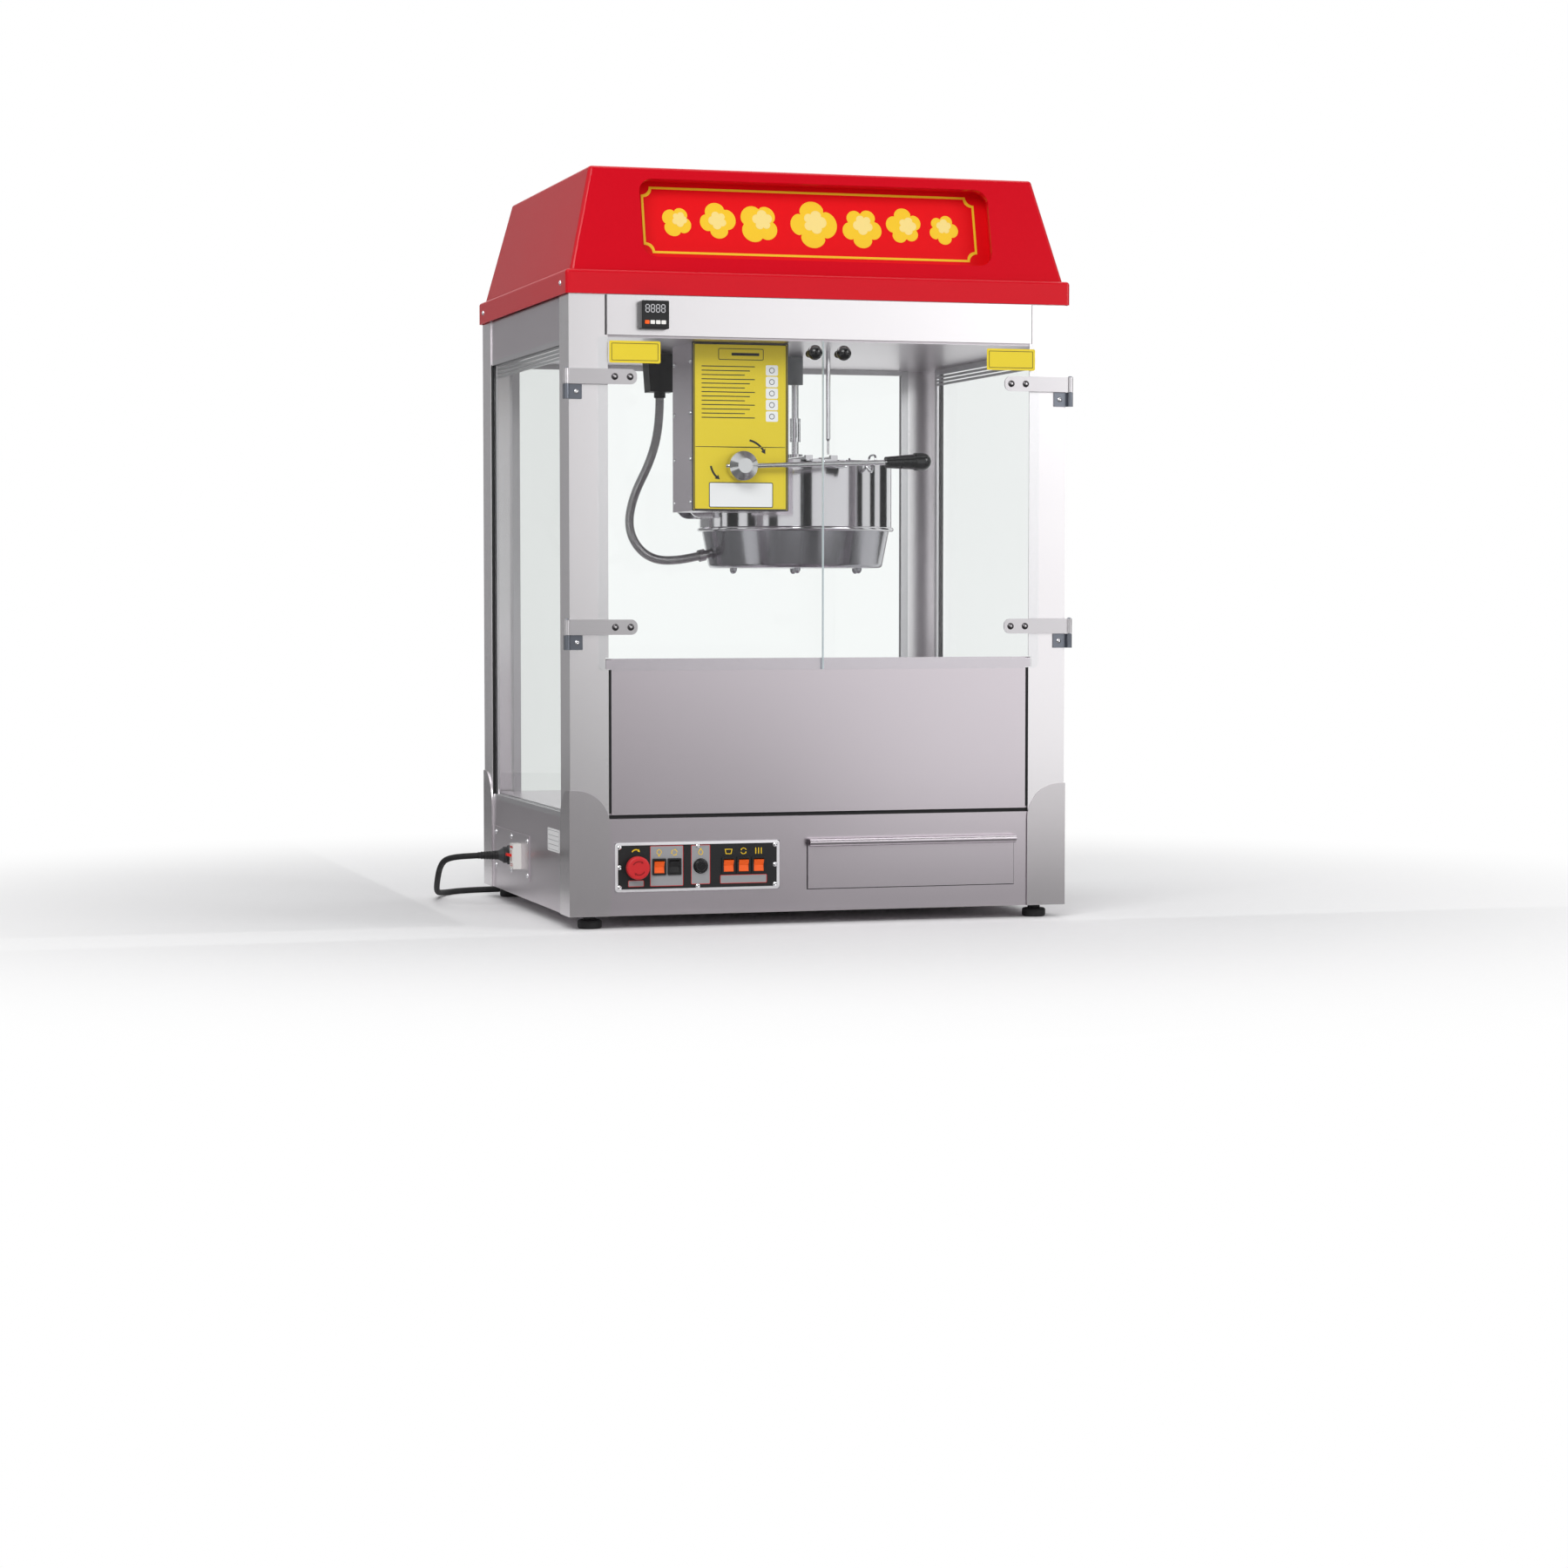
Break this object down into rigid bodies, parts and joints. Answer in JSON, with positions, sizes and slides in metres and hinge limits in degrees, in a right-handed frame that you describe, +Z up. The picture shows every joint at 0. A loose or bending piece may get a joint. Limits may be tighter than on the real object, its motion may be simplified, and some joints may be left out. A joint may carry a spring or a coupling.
{
  "type": "popcorn machine",
  "caption": "Countertop popcorn machine: glazed steel cabinet with a red canopy, two clear doors, a tilting kettle with stirrer and lever, a crumb drawer and a switch panel.",
  "frame": {"origin": "on the surface the feet stand on, below the middle of the cabinet's width and of its whole depth", "axes": "+X to the right seen from the front, +Y to the back, +Z up"},
  "size_m": [1.0397, 1.0195, 1.307],
  "materials": {
    "cabinet_steel": "satin",
    "polished_steel": "polished",
    "canopy_red": "gloss",
    "sign_red": "gloss",
    "cover_yellow": "satin",
    "pane_glass": "clear",
    "door_clear": "clear",
    "seal_aluminium": "satin",
    "foot_rubber": "matte",
    "switch_black": "satin",
    "switch_orange": "gloss",
    "stop_red": "gloss",
    "button_black": "gloss",
    "knob_black": "gloss",
    "breaker_white": "satin",
    "toggle_red": "gloss",
    "cord_black": "matte",
    "plug_black": "satin",
    "bush_brass": "satin",
    "motor_grey": "cast",
    "element_steel": "cast",
    "conduit_steel": "ribbed"
  },
  "bodies": {
    "cabinet": {"base_pan": "cabinet_steel", "base_front_panel": "cabinet_steel", "corner_posts": "cabinet_steel", "corner_boots": "cabinet_steel", "feet": "foot_rubber", "hopper_floor": "cabinet_steel", "hopper_front_panel": "cabinet_steel", "glass_panes": "pane_glass", "glass_seals": "seal_aluminium", "ceiling_pan": "cabinet_steel", "header_panel": "cabinet_steel", "canopy_shell": "canopy_red", "sign_panel": "sign_red", "case_screws": "polished_steel", "hinge_brackets": "polished_steel", "control_plate": "polished_steel", "rocker_frames": "switch_black", "controller_body": "switch_black", "inlet_plate": "cabinet_steel", "breaker_body": "breaker_white", "cord_connector": "plug_black", "power_cord_lead": "cord_black", "power_cord_coil": "cord_black", "cord_tie": "cord_black", "mains_plug": "plug_black", "drive_box": "cabinet_steel", "drive_box_cover": "cover_yellow", "shaft_bushes": "bush_brass", "gearmotor": "motor_grey", "oil_pump": "motor_grey", "oil_tube": "polished_steel", "conduit_connector": "plug_black", "kettle_conduit": "conduit_steel"},
    "left_door": {"left_door_sheet": "door_clear", "left_door_straps": "polished_steel", "left_door_knob": "knob_black"},
    "right_door": {"right_door_sheet": "door_clear", "right_door_straps": "polished_steel", "right_door_knob": "knob_black"},
    "kettle": {"tilt_shaft": "cabinet_steel", "tilt_lever": "polished_steel", "lever_grip": "knob_black", "kettle_pot": "polished_steel", "kettle_base": "polished_steel", "heating_element": "element_steel", "kettle_crossbar": "polished_steel", "conduit_elbow": "polished_steel"},
    "left_lid": {"left_lid": "polished_steel"},
    "right_lid": {"right_lid": "polished_steel"},
    "stirrer": {"stirrer": "cabinet_steel"},
    "drive_shaft": {"drive_shaft": "cabinet_steel"},
    "crumb_drawer": {"crumb_drawer": "cabinet_steel"},
    "stop_button": {"stop_button": "stop_red"},
    "oil_button": {"oil_button": "button_black"},
    "breaker_toggle": {"breaker_toggle": "toggle_red"},
    "rocker_1": {"rocker_1": "switch_orange"},
    "rocker_2": {"rocker_2": "switch_black"},
    "rocker_3": {"rocker_3": "switch_orange"},
    "rocker_4": {"rocker_4": "switch_orange"},
    "rocker_5": {"rocker_5": "switch_orange"}
  },
  "joints": [
    {"name": "left_door_hinge", "type": "hinge", "parent": "cabinet", "child": "left_door", "pos_m": [-0.456, -0.3485, 0.729], "axis": [0, 0, -1], "range_deg": [0, 170]},
    {"name": "right_door_hinge", "type": "hinge", "parent": "cabinet", "child": "right_door", "pos_m": [0.456, -0.3485, 0.729], "axis": [0, 0, 1], "range_deg": [0, 170]},
    {"name": "kettle_tilt", "type": "hinge", "parent": "cabinet", "child": "kettle", "pos_m": [-0.13, 0.024, 0.798], "axis": [0, 1, 0], "range_deg": [0, 100], "deforming": ["kettle_conduit"]},
    {"name": "left_lid_hinge", "type": "hinge", "parent": "kettle", "child": "left_lid", "pos_m": [0.042, 0.049, 0.8205], "axis": [0, 1, 0], "range_deg": [0, 80]},
    {"name": "right_lid_hinge", "type": "hinge", "parent": "kettle", "child": "right_lid", "pos_m": [0.092, 0.049, 0.8205], "axis": [0, -1, 0], "range_deg": [0, 80]},
    {"name": "drive_spin", "type": "hinge", "parent": "cabinet", "child": "drive_shaft", "pos_m": [0.067, 0.049, 0.864], "axis": [0, 0, 1], "continuous": true},
    {"name": "stirrer_spin", "type": "hinge", "parent": "kettle", "child": "stirrer", "pos_m": [0.067, 0.049, 0.815], "axis": [0, 0, 1], "continuous": true},
    {"name": "drawer_slide", "type": "slide", "parent": "cabinet", "child": "crumb_drawer", "axis": [0, -1, 0], "range_m": [0, 0.3]},
    {"name": "stop_press", "type": "slide", "parent": "cabinet", "child": "stop_button", "axis": [0, 1, 0], "range_m": [0, 0.004]},
    {"name": "oil_press", "type": "slide", "parent": "cabinet", "child": "oil_button", "axis": [0, 1, 0], "range_m": [0, 0.003], "stiffness_N_per_m": 300, "springref_m": -0.001},
    {"name": "breaker_flip", "type": "hinge", "parent": "cabinet", "child": "breaker_toggle", "pos_m": [-0.46, 0.075, 0.09825], "axis": [0, -1, 0], "range_deg": [0, 28]},
    {"name": "rocker_1_flip", "type": "hinge", "parent": "cabinet", "child": "rocker_1", "pos_m": [-0.294, -0.34, 0.1065], "axis": [-1, 0, 0], "range_deg": [0, 16]},
    {"name": "rocker_2_flip", "type": "hinge", "parent": "cabinet", "child": "rocker_2", "pos_m": [-0.267, -0.34, 0.1065], "axis": [-1, 0, 0], "range_deg": [0, 16]},
    {"name": "rocker_3_flip", "type": "hinge", "parent": "cabinet", "child": "rocker_3", "pos_m": [-0.17, -0.34, 0.1065], "axis": [-1, 0, 0], "range_deg": [0, 16]},
    {"name": "rocker_4_flip", "type": "hinge", "parent": "cabinet", "child": "rocker_4", "pos_m": [-0.143, -0.34, 0.1065], "axis": [-1, 0, 0], "range_deg": [0, 16]},
    {"name": "rocker_5_flip", "type": "hinge", "parent": "cabinet", "child": "rocker_5", "pos_m": [-0.116, -0.34, 0.1065], "axis": [-1, 0, 0], "range_deg": [0, 16]}
  ],
  "couplings": [
    {"joint": "stirrer_spin", "follows": "drive_spin", "ratio": 1}
  ]
}
